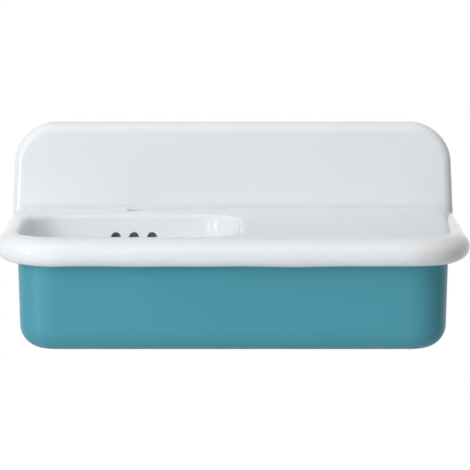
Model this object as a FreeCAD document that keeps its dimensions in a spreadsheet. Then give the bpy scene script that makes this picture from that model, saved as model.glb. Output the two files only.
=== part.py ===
import FreeCAD, Part
import math
import os

import Sketcher

# A wall-hung washbasin. +Z is up, +X is to the right seen from the front, and the wall is the
# plane y = 0 behind the basin. The origin lies on the wall, in the middle, level with the deck.
# Lengths are in millimetres and angles in degrees.
SIZES = {
    # white casting: rolled rim and deck
    "rimWidth": 850.0,
    "rimDepth": 480.0,
    "rimCorner": 126.0,          # plan radius of the two front corners
    "rimHeight": 49.0,
    "rollOver": 25.0,            # radius of the roll's upper half
    "rollUnder": 22.0,           # radius of its lower half
    "deckThick": 14.0,
    # splashback
    "backHeight": 163.0,         # above the deck
    "backThick": 28.0,
    "backInset": 3.5,            # its sides stand in from the rim, at deck level
    "backDraft": 2.9,
    "backCorner": 80.0,
    "backRound": 19.0,           # rounding of its front edges
    "coveRadius": 9.0,           # hollow where it meets the deck
    # bowl
    "bowlWidth": 404.0,
    "bowlSideStrip": 37.5,       # rim's left edge to the bowl
    "bowlFrontStrip": 52.0,      # rim's front edge to the bowl
    "tapLedge": 95.0,            # splashback to the bowl
    "bowlDeep": 130.0,
    "bowlSlope": 18.0,           # walls lean in towards the floor
    "bowlCorner": 75.0,
    "bowlFloorRound": 45.0,
    "bowlLip": 10.0,
    "bowlWall": 6.5,
    # holes in the white casting
    "tapHole": 35.0,
    "tapSetBack": 31.0,          # splashback to the middle of the tap hole
    "overflowHole": 18.0,
    "overflowPitch": 34.0,
    "overflowDrop": 42.0,        # deck to the middle of the holes
    "overflowReach": 26.0,       # length of each hole's drill
    "outletSetBack": 117.0,      # bowl's back edge to the outlet's middle
    "outletHole": 46.0,
    "outletRecess": 68.0,
    "outletRecessDeep": 2.5,
    "bossWidth": 70.0,
    "bossDrop": 31.5,            # below the underside of the bowl's floor
    # teal casting
    "apronInset": 40.0,          # rim's edge to the apron
    "apronHeight": 158.0,
    "apronDraft": 1.3,
    "apronCorner": 72.0,
    "apronFootRound": 42.0,
    "apronWall": 6.0,
    "apronBackWall": 9.0,
    "apronFoot": 78.0,           # width of the turned-in foot
    "apronFootCorner": 40.0,
    "apronBackFoot": 34.0,
    "bowlToApron": 0.6,          # room between the bowl's wall and the apron's
    # overflow duct behind the bowl
    "ductSide": 6.0,
    "ductRoom": 18.0,            # clear depth inside
    "ductMargin": 3.0,           # beyond the outer holes, on each side
    "ductAbove": 12.0,           # above the holes
    "ductFloor": 5.0,            # its bottom wall
    "portWide": 28.0,            # way from the duct into the outlet
    "portTall": 16.0,
    # basin waste
    "gasketThick": 1.5,
    "flangeWidth": 64.0,
    "flangeEdge": 2.0,
    "flangeCrown": 4.0,          # highest ring above the flange's underside
    "flangeCrownWidth": 58.0,
    "neckWidth": 46.0,
    "neckHeight": 3.0,
    "tailWidth": 41.9,           # thread of the tail
    "tailBore": 37.0,
    "tailLength": 91.0,
    "tailFree": 32.0,            # stretch left for the trap, below a plain neck
    "tailNeckWidth": 40.5,
    "tailNeckTall": 2.5,
    "tailSlotWide": 9.0,
    "tailSlotTall": 14.0,
    "tailSlotDrop": 12.0,
    "hubDrop": 34.0,             # flange's underside to the hub's top
    "hubHeight": 10.0,
    "hubWidth": 16.0,
    "hubBore": 10.0,
    "hubBar": 5.0,
    "hubBarRoot": 0.2,           # bar's ends run into the tail's wall
    "coneWasherThick": 6.0,
    "coneWasherWidth": 62.0,
    "coneSpigot": 3.0,
    "slipWasherThick": 1.5,
    "backnutThick": 10.0,
    "backnutFlats": 58.0,
    "threadGap": 0.05,           # radial room of screwed and sliding fits
    "ringGap": 0.4,              # radial room of loose rings
    # push plug and its cartridge
    "plugTravel": 9.0,
    "plugShutGap": 0.6,          # cap above the flange when shut
    "plugWidth": 61.0,
    "plugEdge": 3.0,             # height of its upright edge
    "plugCrown": 2.5,            # rise of its bevelled top
    "plugCrownWidth": 48.0,
    "plugStud": 15.0,            # boss under the cap
    "plugStudLong": 6.0,
    "plugStudDepth": 1.5,        # pin's reach into the cap
    "sealWidth": 48.0,
    "sealBore": 38.0,
    "sealThick": 2.6,
    "lockNutFlats": 13.0,
    "lockNutThick": 4.0,
    "pinWidth": 8.0,
    "pinCollarTall": 4.0,
    "housingWidth": 18.0,
    "housingHeight": 26.0,
    "housingBore": 12.6,
    "housingFloor": 2.0,
    "nippleLong": 8.0,
    "clipDrop": 1.5,
    "clipThick": 1.0,
    "clipSeat": 0.6,             # depth of the ring's groove
    "collarGap": 0.3,
    "springWire": 1.0,
    "springTurns": 4.0,
    # wall fixings
    "boltSpacing": 280.0,
    "boltDrop": 100.0,           # deck to the bolts
    "boltWidth": 10.0,           # metric half, for the nut
    "boltInside": 40.0,
    "boltShankWidth": 8.6,       # plain stretch between the two threads
    "boltShankBack": 4.0,        # its reach each side of the wall's face
    "boltScrewWidth": 9.4,       # half that goes into the wall
    "boltInWall": 70.0,
    "boltPoint": 9.0,
    "boltPointWidth": 3.0,
    "sleeveWidth": 16.0,
    "sleeveFlange": 28.0,
    "sleeveFlangeThick": 3.0,
    "sleeveSetIn": 0.5,          # sleeve's end short of the wall
    "washerWidth": 30.0,
    "washerThick": 2.0,
    "nutFlats": 17.0,
    "nutThick": 8.0,
}

doc = FreeCAD.newDocument("washbasin")
sheet = doc.addObject("Spreadsheet::Sheet", "Sizes")


class Size:
    """A size as a number and as the same formula on the sheet."""

    def __init__(self, value, text):
        self.value = value
        self.text = text

    def __add__(self, other):
        other = as_size(other)
        return Size(self.value + other.value, f"({self.text} + {other.text})")

    def __sub__(self, other):
        other = as_size(other)
        return Size(self.value - other.value, f"({self.text} - {other.text})")

    def __mul__(self, other):
        other = as_size(other)
        return Size(self.value * other.value, f"({self.text} * {other.text})")

    def __truediv__(self, other):
        other = as_size(other)
        return Size(self.value / other.value, f"({self.text} / {other.text})")

    def __neg__(self):
        return Size(-self.value, f"(0 - {self.text})")

    def tan(self):
        return Size(math.tan(math.radians(self.value)), f"tan({self.text} * 1 deg)")

    def cos(self):
        return Size(math.cos(math.radians(self.value)), f"cos({self.text} * 1 deg)")


def as_size(number):
    return number if isinstance(number, Size) else Size(float(number), repr(float(number)))


class Sheet:
    """The driving sizes by name, each written once on the sheet."""

    def __init__(self, sizes):
        for row, (name, value) in enumerate(sizes.items(), start=1):
            sheet.set(f"A{row}", name)
            sheet.set(f"B{row}", str(value))
            sheet.setAlias(f"B{row}", name)
            setattr(self, name, Size(value, f"Sizes.{name}"))


s = Sheet(SIZES)
doc.recompute()
ZERO = as_size(0)


def bind(target, prop, size):
    """Ties one property to the sheet."""
    target.setExpression(prop, as_size(size).text)


def place(target, x=ZERO, y=ZERO, z=ZERO, rotation=None):
    """Stands an object at a point, its rotation given as axis and angle."""
    if rotation:
        target.Placement = FreeCAD.Placement(FreeCAD.Vector(), FreeCAD.Rotation(*rotation))
    for axis, size in zip("xyz", (x, y, z)):
        bind(target, f"Placement.Base.{axis}", size)


def new_body(name):
    return doc.addObject("PartDesign::Body", name)


def new_sketch(body, plane, lift=None):
    """An empty sketch on one of the body's own planes, lifted off it if asked."""
    sketch = body.newObject("Sketcher::SketchObject", body.Name + "Sketch")
    support = [f for f in body.Origin.OriginFeatures if f.Role == plane + "_Plane"][0]
    sketch.AttachmentSupport = [(support, "")]
    sketch.MapMode = "FlatFace"
    if lift is not None:
        bind(sketch, "AttachmentOffset.Base.z", lift)
    return sketch


def fix_point(sketch, line, end, across, up):
    """Sets one point of a sketch from its origin."""
    for kind, axis, size in (("DistanceX", -2, as_size(across)), ("DistanceY", -1, as_size(up))):
        if size.value == 0:
            sketch.addConstraint(Sketcher.Constraint("PointOnObject", line, end, axis))
        else:
            index = sketch.addConstraint(Sketcher.Constraint(kind, -1, 1, line, end, size.value))
            bind(sketch, f"Constraints[{index}]", size)


def draw_outline(sketch, points):
    """A closed outline of straight lines through (across, up) points."""
    corners = [FreeCAD.Vector(across.value, up.value, 0) for across, up in points]
    count = len(corners)
    for i in range(count):
        sketch.addGeometry(Part.LineSegment(corners[i], corners[(i + 1) % count]), False)
    for i, (across, up) in enumerate(points):
        sketch.addConstraint(Sketcher.Constraint("Coincident", i, 2, (i + 1) % count, 1))
        fix_point(sketch, i, 1, across, up)


def draw_box(sketch, left, right, low, high):
    draw_outline(sketch, [(left, low), (right, low), (right, high), (left, high)])


def add_pad(body, sketch, length, down=False, both_ways=False):
    pad = body.newObject("PartDesign::Pad", body.Name + "Pad")
    pad.Profile = sketch
    pad.Reversed = down
    if both_ways:
        pad.SideType = "Symmetric"
    bind(pad, "Length", length)
    doc.recompute()
    return pad


def edge_names(feature, wanted):
    return [f"Edge{i}" for i, edge in enumerate(feature.Shape.Edges, start=1) if wanted(edge)]


def add_fillet(body, feature, radius, wanted):
    """Rounds those edges of the last feature that the test picks."""
    fillet = body.newObject("PartDesign::Fillet", body.Name + "Fillet")
    fillet.Base = (feature, edge_names(feature, wanted))
    bind(fillet, "Radius", radius)
    doc.recompute()
    return fillet


def add_draft(body, feature, angle, wanted):
    """Leans upright faces in towards the bottom, about the solid's top face."""
    faces = feature.Shape.Faces
    top_level = feature.Shape.BoundBox.ZMax
    top = [i for i, f in enumerate(faces, start=1) if near(f.BoundBox.ZMin, top_level)][0]
    draft = body.newObject("PartDesign::Draft", body.Name + "Draft")
    draft.Base = (feature, [f"Face{i}" for i, f in enumerate(faces, start=1)
                            if near(f.BoundBox.ZLength, feature.Shape.BoundBox.ZLength) and wanted(f)])
    draft.NeutralPlane = (feature, [f"Face{top}"])
    draft.Reversed = True
    bind(draft, "Angle", angle)
    doc.recompute()
    return draft


def round_edges(name, base, radius, wanted):
    """Rounds edges of a joined solid."""
    doc.recompute()
    fillet = doc.addObject("Part::Fillet", name)
    fillet.Base = base
    picked = [i for i, edge in enumerate(base.Shape.Edges, start=1) if wanted(edge)]
    fillet.Edges = [(i, radius.value, radius.value) for i in picked]
    doc.recompute()
    return fillet


def near(a, b, room=0.01):
    return abs(a - as_size(b).value) < room


def flat_in(item, axis, level):
    """True where a whole edge or face lies at one level of x, y or z."""
    box = item.BoundBox
    low, high = {"x": (box.XMin, box.XMax), "y": (box.YMin, box.YMax), "z": (box.ZMin, box.ZMax)}[axis]
    return near(low, level) and near(high, level)


def middle(edge):
    first, last = edge.ParameterRange
    return edge.valueAt((first + last) / 2)


def is_hollow_edge(shape, edge):
    """True where two faces meet in an inside corner: most of a small ball there is solid."""
    ball_radius, most = 0.5, 0.55
    ball = Part.makeSphere(ball_radius, middle(edge))
    return shape.common(ball).Volume > most * ball.Volume


def fuse(name, *objects):
    joined = doc.addObject("Part::MultiFuse", name)
    joined.Shapes = list(objects)
    return joined


def cut(name, base, tool):
    result = doc.addObject("Part::Cut", name)
    result.Base = base
    result.Tool = tool
    return result


def cylinder(name, width, height, x=ZERO, y=ZERO, z=ZERO, rotation=None):
    rod = doc.addObject("Part::Cylinder", name)
    bind(rod, "Radius", as_size(width) / 2)
    bind(rod, "Height", height)
    place(rod, x, y, z, rotation)
    return rod


def block(name, x, y, z, length, width, height):
    box = doc.addObject("Part::Box", name)
    for prop, size in (("Length", length), ("Width", width), ("Height", height)):
        bind(box, prop, size)
    place(box, x, y, z)
    return box


def turned(name, points, x=ZERO, y=ZERO, z=ZERO, rotation=None):
    """A solid turned round the Z axis from a profile of (radius, height) points."""
    body = new_body(name)
    sketch = new_sketch(body, "XZ")
    draw_outline(sketch, points)
    spin = body.newObject("PartDesign::Revolution", name + "Spin")
    spin.Profile = sketch
    spin.ReferenceAxis = (sketch, ["V_Axis"])
    spin.Angle = 360
    place(body, x, y, z, rotation)
    return body


def ring(name, outer, inner, thick, x=ZERO, y=ZERO, z=ZERO, rotation=None):
    outer, inner = as_size(outer) / 2, as_size(inner) / 2
    profile = [(inner, ZERO), (outer, ZERO), (outer, thick), (inner, thick)]
    return turned(name, profile, x, y, z, rotation)


def hex_nut(name, flats, bore, thick, x, y, z, rotation=None):
    blank = doc.addObject("Part::Prism", name + "Blank")
    blank.Polygon = 6
    bind(blank, "Circumradius", flats / 2 / as_size(30).cos())
    bind(blank, "Height", thick)
    place(blank, x, y, z, rotation)
    return cut(name, blank, cylinder(name + "Bore", bore, thick, x, y, z, rotation))


def pair(name, right_one):
    """A right-hand piece and its mirror image on the left, as two solids."""
    left_one = doc.addObject("Part::Mirroring", name + "Left")
    left_one.Source = right_one
    left_one.Normal = FreeCAD.Vector(1, 0, 0)
    both = doc.addObject("Part::Compound", name)
    both.Links = [right_one, left_one]
    return both


# Levels and places that several pieces share
rim_half = s.rimWidth / 2
bowl_left = s.bowlSideStrip - rim_half
bowl_right = bowl_left + s.bowlWidth
bowl_mid = (bowl_left + bowl_right) / 2
bowl_back = -(s.backThick + s.tapLedge)
bowl_front = s.bowlFrontStrip - s.rimDepth
wall_across = s.bowlWall / s.bowlSlope.cos()       # bowl's wall measured level
floor_under = -(s.bowlDeep + s.bowlWall)
boss_under = floor_under - s.bossDrop
duct_low = boss_under + s.ductFloor
outlet_y = bowl_back - s.outletSetBack
apron_top = -s.rimHeight
apron_under = apron_top - s.apronHeight
apron_half = rim_half - s.apronInset
apron_front = s.apronInset - s.rimDepth
flange_seat = s.gasketThick - s.bowlDeep - s.outletRecessDeep
BACKWARDS = (FreeCAD.Vector(1, 0, 0), -90)         # turns +Z to +Y


def bowl_solid(name, grow_across, grow_down, grow_round):
    """The bowl as a tapered block with rounded corners and floor, grown by a wall or by nothing."""
    body = new_body(name)
    sketch = new_sketch(body, "XY")
    draw_box(sketch, bowl_left - grow_across, bowl_right + grow_across,
             bowl_front - grow_across, bowl_back + grow_across)
    deep = s.bowlDeep + grow_down
    pad = add_pad(body, sketch, deep, down=True)
    corners = add_fillet(body, pad, s.bowlCorner + grow_round,
                         lambda e: near(e.BoundBox.ZLength, deep))
    leaned = add_draft(body, corners, s.bowlSlope, lambda f: True)
    add_fillet(body, leaned, s.bowlFloorRound + grow_round, lambda e: flat_in(e, "z", -deep))
    return body


def rim_slab():
    """Deck and rolled rim in one block, with the roll along the front and both sides."""
    body = new_body("RimSlab")
    sketch = new_sketch(body, "XY")
    draw_box(sketch, -rim_half, rim_half, -s.rimDepth, ZERO)
    pad = add_pad(body, sketch, s.rimHeight, down=True)
    corners = add_fillet(body, pad, s.rimCorner, lambda e: (
        near(e.BoundBox.ZLength, s.rimHeight) and near(e.BoundBox.YMax, -s.rimDepth)))
    over = add_fillet(body, corners, s.rollOver, lambda e: (
        flat_in(e, "z", 0) and not flat_in(e, "y", 0)))
    add_fillet(body, over, s.rollUnder, lambda e: (
        flat_in(e, "z", -s.rimHeight) and not flat_in(e, "y", 0)))
    return body


def splashback():
    """Upright plate with leaning sides, rounded top corners and rounded front edges."""
    body = new_body("Splashback")
    sketch = new_sketch(body, "XZ")
    root = -s.rimHeight / 2
    at_deck = rim_half - s.backInset
    low_half = at_deck - root * s.backDraft.tan()
    top_half = at_deck - s.backHeight * s.backDraft.tan()
    draw_outline(sketch, [(-low_half, root), (low_half, root),
                          (top_half, s.backHeight), (-top_half, s.backHeight)])
    pad = add_pad(body, sketch, s.backThick)
    corners = add_fillet(body, pad, s.backCorner, lambda e: (
        near(e.BoundBox.YLength, s.backThick) and near(e.BoundBox.ZMax, s.backHeight)))
    add_fillet(body, corners, s.backRound, lambda e: (
        flat_in(e, "y", -s.backThick) and not flat_in(e, "z", root)))
    return body


def under_deck():
    """Hollow under the deck, inside the line of the apron's walls."""
    body = new_body("UnderDeck")
    sketch = new_sketch(body, "XY", lift=apron_top)
    inset = s.apronInset + s.apronWall + s.bowlToApron
    draw_box(sketch, inset - rim_half, rim_half - inset, inset - s.rimDepth, -s.backThick)
    height = s.rimHeight - s.deckThick
    pad = add_pad(body, sketch, height)
    add_fillet(body, pad, s.apronCorner - s.apronWall - s.bowlToApron, lambda e: (
        near(e.BoundBox.ZLength, height) and near(e.BoundBox.YMax, inset - s.rimDepth)))
    return body


def deck_holes():
    """Outlet with its recess, tap hole, overflow holes and the port from the duct to the outlet."""
    holes = [
        cylinder("OutletBore", s.outletHole, -boss_under, bowl_mid, outlet_y, boss_under),
        cylinder("OutletRecess", s.outletRecess, s.outletRecessDeep, bowl_mid, outlet_y,
                 -(s.bowlDeep + s.outletRecessDeep)),
        cylinder("TapBore", s.tapHole, s.rimHeight, bowl_mid, -(s.backThick + s.tapSetBack),
                 -s.rimHeight),
    ]
    bowl_wall_y = bowl_back - s.overflowDrop * s.bowlSlope.tan()
    for step in (-1, 0, 1):
        holes.append(cylinder("OverflowBore", s.overflowHole, s.overflowReach,
                              bowl_mid + s.overflowPitch * step, bowl_wall_y - s.overflowReach / 2,
                              -s.overflowDrop, BACKWARDS))
    holes.append(block("OverflowPort", bowl_mid - s.portWide / 2, outlet_y, duct_low + s.ductFloor,
                       s.portWide, s.bossWidth, s.portTall))
    return fuse("DeckHoles", *holes)


def outlet_boss(name):
    return cylinder(name, s.bossWidth, s.bossDrop + s.bowlWall / 2, bowl_mid, outlet_y, boss_under)


def basin_top():
    """White casting: rim, deck, splashback, bowl and outlet boss."""
    joined = fuse("RimAndBack", rim_slab(), splashback())
    coved = round_edges("Cove", joined, s.coveRadius, lambda e: is_hollow_edge(joined.Shape, e))
    hollowed = cut("Hollowed", coved, under_deck())
    bowl_form = bowl_solid("BowlForm", wall_across, s.bowlWall, s.bowlWall)
    shelled = fuse("Shelled", hollowed, bowl_form, outlet_boss("Boss"))
    opened = cut("Opened", shelled, bowl_solid("BowlVoid", ZERO, ZERO, ZERO))
    lipped = round_edges("Lipped", opened, s.bowlLip, lambda e: (
        flat_in(e, "z", 0) and e.BoundBox.YMax < -s.backThick.value
        and near(middle(e).x, bowl_mid, s.bowlWidth.value)))
    return cut("basin_top", lipped, deck_holes()), bowl_form


def apron_solid(name, inset, back, under, corner, foot_round):
    """The trough under the rim as a leaning block, upright only at the back."""
    body = new_body(name)
    sketch = new_sketch(body, "XY", lift=apron_top)
    half = apron_half - inset
    draw_box(sketch, -half, half, apron_front + inset, back)
    height = apron_top - under
    pad = add_pad(body, sketch, height, down=True)
    corners = add_fillet(body, pad, corner, lambda e: (
        near(e.BoundBox.ZLength, height) and near(e.BoundBox.YMax, apron_front + inset)))
    leaned = add_draft(body, corners, s.apronDraft, lambda f: not flat_in(f, "y", back))
    add_fillet(body, leaned, foot_round, lambda e: (
        flat_in(e, "z", under) and not flat_in(e, "y", back)))
    return body


def apron():
    """Teal casting: an open trough with a turned-in foot and two holes in its back wall."""
    outer = apron_solid("ApronOuter", ZERO, ZERO, apron_under, s.apronCorner, s.apronFootRound)
    inner = apron_solid("ApronInner", s.apronWall, -s.apronBackWall, apron_under + s.apronWall,
                        s.apronCorner - s.apronWall, s.apronFootRound - s.apronWall)
    shell = cut("ApronShell", outer, inner)
    foot = new_body("FootOpening")
    sketch = new_sketch(foot, "XY", lift=apron_under)
    draw_box(sketch, s.apronFoot - apron_half, apron_half - s.apronFoot,
             apron_front + s.apronFoot, -(s.apronBackWall + s.apronBackFoot))
    pad = add_pad(foot, sketch, s.apronWall)
    add_fillet(foot, pad, s.apronFootCorner, lambda e: near(e.BoundBox.ZLength, s.apronWall))
    holes = [foot]
    for side in (-1, 1):
        holes.append(cylinder("SleeveHole", s.sleeveWidth + s.threadGap * 2, s.apronBackWall,
                              s.boltSpacing / 2 * side, -s.apronBackWall, -s.boltDrop, BACKWARDS))
    return cut("apron", shell, fuse("ApronHoles", *holes))


def overflow_channel(bowl_form):
    """Open-fronted duct, closed by the bowl's own back wall, from the holes to the outlet boss."""
    half = s.overflowPitch + s.overflowHole / 2 + s.ductMargin + s.ductSide
    top = s.ductAbove + s.overflowHole / 2 - s.overflowDrop

    def side_view(back_room, upper, lower):
        lean = s.bowlSlope.tan()
        start = bowl_back + wall_across + back_room
        return [(start + upper * lean, upper), (start + lower * lean, lower),
                (outlet_y, lower), (outlet_y, upper)]

    def slab(name, width, back_room, upper, lower):
        body = new_body(name)
        sketch = new_sketch(body, "YZ")
        draw_outline(sketch, side_view(back_room, upper, lower))
        add_pad(body, sketch, width, both_ways=True)
        place(body, bowl_mid)
        return body

    blank = slab("DuctBlank", half * 2, s.ductRoom + s.ductSide, top, duct_low)
    room = slab("DuctRoom", (half - s.ductSide) * 2, s.ductRoom, top - s.ductSide,
                duct_low + s.ductFloor)
    return cut("overflow_channel", blank, fuse("DuctCuts", room, bowl_form, outlet_boss("DuctBoss")))


def waste_body():
    """Flange with a conical seat, threaded tail, overflow slots, and a bar with a hub inside."""
    bore, tail, neck = s.tailBore / 2, s.tailWidth / 2, s.neckWidth / 2
    flange, crown = s.flangeWidth / 2, s.flangeCrownWidth / 2
    throat = -(s.flangeCrown - s.neckHeight)
    plain, plain_low = s.tailNeckWidth / 2, s.tailFree - s.tailLength
    plain_top = plain_low + s.tailNeckTall
    shell = turned("WasteShell", [
        (tail, -s.neckHeight), (neck, ZERO), (flange, ZERO), (flange, s.flangeEdge),
        (crown, s.flangeCrown), (bore, throat), (bore, -s.tailLength), (tail, -s.tailLength),
        (tail, plain_low), (plain, plain_low), (plain, plain_top), (tail, plain_top)],
        bowl_mid, outlet_y, flange_seat)
    hub_low = flange_seat - s.hubDrop - s.hubHeight
    slots = [
        block("SlotAcross", bowl_mid - s.tailWidth, outlet_y - s.tailSlotWide / 2, ZERO,
              s.tailWidth * 2, s.tailSlotWide, s.tailSlotTall),
        block("SlotAlong", bowl_mid - s.tailSlotWide / 2, outlet_y - s.tailWidth, ZERO,
              s.tailSlotWide, s.tailWidth * 2, s.tailSlotTall),
    ]
    for slot in slots:
        bind(slot, "Placement.Base.z", flange_seat - s.tailSlotDrop - s.tailSlotTall)
    slotted = cut("WasteSlotted", shell, fuse("WasteSlots", *slots))
    reach = bore + s.hubBarRoot
    bars = [
        block("BarAcross", bowl_mid - reach, outlet_y - s.hubBar / 2, hub_low,
              reach * 2, s.hubBar, s.hubHeight),
        block("BarAlong", bowl_mid - s.hubBar / 2, outlet_y - reach, hub_low,
              s.hubBar, reach * 2, s.hubHeight),
    ]
    hub = cylinder("Hub", s.hubWidth, s.hubHeight, bowl_mid, outlet_y, hub_low)
    barred = fuse("WasteBarred", slotted, hub, *bars)
    return cut("waste_body", barred,
               cylinder("HubBore", s.hubBore, s.hubHeight, bowl_mid, outlet_y, hub_low))


def waste_rings():
    """Gasket above the ceramic, and cone washer, slip ring and nut below it."""
    spot = (bowl_mid, outlet_y)
    clear = s.tailWidth + s.ringGap * 2
    cone_under = boss_under - s.coneWasherThick
    slip_under = cone_under - s.slipWasherThick
    inner, outer = clear / 2, s.coneWasherWidth / 2
    spigot = s.outletHole / 2 - s.ringGap
    cone = turned("cone_washer", [
        (inner, ZERO), (outer - s.coneSpigot, ZERO), (outer, s.coneWasherThick),
        (spigot, s.coneWasherThick), (inner, s.coneWasherThick + s.coneSpigot)],
        *spot, cone_under)
    return [
        ring("flange_gasket", s.flangeWidth, s.neckWidth + s.ringGap * 2, s.gasketThick, *spot,
             flange_seat - s.gasketThick),
        cone,
        ring("slip_washer", s.coneWasherWidth - s.coneSpigot * 2, clear, s.slipWasherThick, *spot,
             slip_under),
        hex_nut("waste_backnut", s.backnutFlats, s.tailWidth + s.threadGap * 2, s.backnutThick,
                *spot, slip_under - s.backnutThick),
    ]


def push_plug():
    """Domed cap, seal, lock nut and cartridge, drawn with the plug up."""
    spot = (bowl_mid, outlet_y)
    cap_under = flange_seat + s.flangeCrown + s.plugShutGap + s.plugTravel
    housing_low = flange_seat - s.hubDrop
    housing_top = housing_low + s.housingHeight
    clip_under = housing_top - s.clipDrop - s.clipThick
    collar_top = clip_under - s.collarGap
    collar_low = collar_top - s.pinCollarTall
    pin, bore = s.pinWidth / 2, s.housingBore / 2
    stud, edge, crown = s.plugStud / 2, s.plugWidth / 2, s.plugCrownWidth / 2
    hole_top, cap_top = s.plugStudDepth, s.plugEdge + s.plugCrown
    cap = turned("plug_cap", [
        (ZERO, hole_top), (pin + s.threadGap, hole_top), (pin + s.threadGap, -s.plugStudLong),
        (stud, -s.plugStudLong), (stud, ZERO), (edge, ZERO), (edge, s.plugEdge),
        (crown, cap_top), (ZERO, cap_top)], *spot, cap_under)
    stud_under = cap_under - s.plugStudLong
    groove = bore + s.clipSeat
    clip_low, clip_top = clip_under - housing_low, clip_under + s.clipThick - housing_low
    housing = turned("click_housing", [
        (ZERO, -s.nippleLong), (s.hubBore / 2 - s.threadGap, -s.nippleLong),
        (s.hubBore / 2 - s.threadGap, ZERO), (s.housingWidth / 2, ZERO),
        (s.housingWidth / 2, s.housingHeight), (bore, s.housingHeight), (bore, clip_top),
        (groove, clip_top), (groove, clip_low), (bore, clip_low), (bore, s.housingFloor),
        (ZERO, s.housingFloor)], *spot, housing_low)
    collar_wide = bore - s.threadGap
    slide = turned("click_pin", [
        (ZERO, ZERO), (collar_wide, ZERO), (collar_wide, s.pinCollarTall),
        (pin, s.pinCollarTall), (pin, cap_under + hole_top - collar_low),
        (ZERO, cap_under + hole_top - collar_low)], *spot, collar_low)
    return [
        cap,
        ring("plug_seal", s.sealWidth, s.sealBore, s.sealThick, *spot, cap_under - s.sealThick),
        hex_nut("plug_lock_nut", s.lockNutFlats, s.pinWidth + s.threadGap * 2, s.lockNutThick,
                *spot, stud_under - s.lockNutThick),
        housing,
        slide,
        ring("click_circlip", groove * 2 - s.threadGap * 2, s.pinWidth + s.ringGap * 2,
             s.clipThick, *spot, clip_under),
        click_spring(housing_low + s.housingFloor, collar_low, *spot),
    ]


def click_spring(low, high, x, y):
    """Coil of square wire between the housing's floor and the pin's collar."""
    body = new_body("click_spring")
    sketch = new_sketch(body, "XZ")
    outer = s.housingBore / 2 - s.collarGap * 2
    draw_box(sketch, outer - s.springWire, outer, ZERO, s.springWire)
    coil = body.newObject("PartDesign::AdditiveHelix", "Coil")
    coil.Profile = sketch
    coil.ReferenceAxis = (sketch, ["V_Axis"])
    coil.Mode = "height-turns-angle"
    bind(coil, "Height", high - low - s.springWire)
    bind(coil, "Turns", s.springTurns)
    place(body, x, y, low)
    return body


def wall_fixings():
    """Two hanger bolts with sleeves, washers and nuts, bolted from inside the apron."""
    x, z = s.boltSpacing / 2, -s.boltDrop
    bolt, tip = s.boltWidth / 2, s.boltPointWidth / 2
    shank, screw = s.boltShankWidth / 2, s.boltScrewWidth / 2
    inside = -(s.apronBackWall + s.boltInside)
    flange_face = -(s.apronBackWall + s.sleeveFlangeThick)
    washer_face = flange_face - s.washerThick
    end = s.boltInWall - inside
    shank_low, shank_top = -(inside + s.boltShankBack), s.boltShankBack - inside
    stud = turned("HangerBolt", [
        (ZERO, ZERO), (bolt, ZERO), (bolt, shank_low), (shank, shank_low), (shank, shank_top),
        (screw, shank_top), (screw, end - s.boltPoint), (tip, end), (ZERO, end)],
        x, inside, z, BACKWARDS)
    barrel, flange = s.sleeveWidth / 2, s.sleeveFlange / 2
    hole = bolt + s.threadGap
    long = s.sleeveFlangeThick + s.apronBackWall - s.sleeveSetIn
    sleeve = turned("BoltSleeve", [
        (hole, ZERO), (flange, ZERO), (flange, s.sleeveFlangeThick), (barrel, s.sleeveFlangeThick),
        (barrel, long), (hole, long)], x, flange_face, z, BACKWARDS)
    washer = ring("BoltWasher", s.washerWidth, s.boltWidth + s.threadGap * 2, s.washerThick,
                  x, washer_face, z, BACKWARDS)
    nut = hex_nut("BoltNut", s.nutFlats, s.boltWidth + s.threadGap * 2, s.nutThick,
                  x, washer_face - s.nutThick, z, BACKWARDS)
    return [pair("hanger_bolts", stud), pair("bolt_sleeves", sleeve),
            pair("bolt_washers", washer), pair("bolt_nuts", nut)]


def check(pieces):
    """Stops before anything is written if a feature failed or a solid is not sound."""
    doc.recompute()
    for item in doc.Objects:
        if "Invalid" in item.State or "Error" in item.State:
            raise RuntimeError(f"{item.Label} failed: {item.State}")
    for piece in pieces:
        if piece.Shape.isNull() or not piece.Shape.isValid() or not piece.Shape.Solids:
            raise RuntimeError(f"{piece.Label} has no sound solid")
        print(f"{piece.Label}: {len(piece.Shape.Solids)} solid, {piece.Shape.Volume / 1000:.2f} cm3")


def main():
    top, bowl_form = basin_top()
    pieces = [top, apron(), overflow_channel(bowl_form), waste_body()]
    pieces += waste_rings() + push_plug() + wall_fixings()
    check(pieces)
    os.makedirs("parts", exist_ok=True)
    for piece in pieces:
        piece.Shape.exportStep(f"parts/{piece.Label}.step")


main()
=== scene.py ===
import math

import bmesh
import bpy
import numpy as np
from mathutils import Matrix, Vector
from mathutils.geometry import delaunay_2d_cdt


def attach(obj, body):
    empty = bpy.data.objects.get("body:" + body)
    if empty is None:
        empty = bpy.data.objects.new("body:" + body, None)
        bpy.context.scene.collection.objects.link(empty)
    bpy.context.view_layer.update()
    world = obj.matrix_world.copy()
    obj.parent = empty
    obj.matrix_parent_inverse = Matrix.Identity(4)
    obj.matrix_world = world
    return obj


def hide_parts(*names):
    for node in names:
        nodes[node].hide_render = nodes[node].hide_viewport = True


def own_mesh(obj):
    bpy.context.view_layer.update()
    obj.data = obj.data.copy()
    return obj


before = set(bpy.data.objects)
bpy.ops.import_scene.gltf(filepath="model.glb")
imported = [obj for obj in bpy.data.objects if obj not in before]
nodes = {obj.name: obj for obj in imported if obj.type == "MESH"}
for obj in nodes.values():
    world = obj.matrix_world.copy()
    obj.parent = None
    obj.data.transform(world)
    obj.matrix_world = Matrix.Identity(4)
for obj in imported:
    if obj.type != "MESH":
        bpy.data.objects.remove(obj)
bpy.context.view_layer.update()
scene = bpy.context.scene
scene.view_settings.view_transform = "Standard"
print("frame loaded:", len(nodes), "nodes")

# lengths of pieces are millimetres and become metres as a mesh is made; shaders, stage, lamps and camera use metres
metre = 0.001


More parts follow.
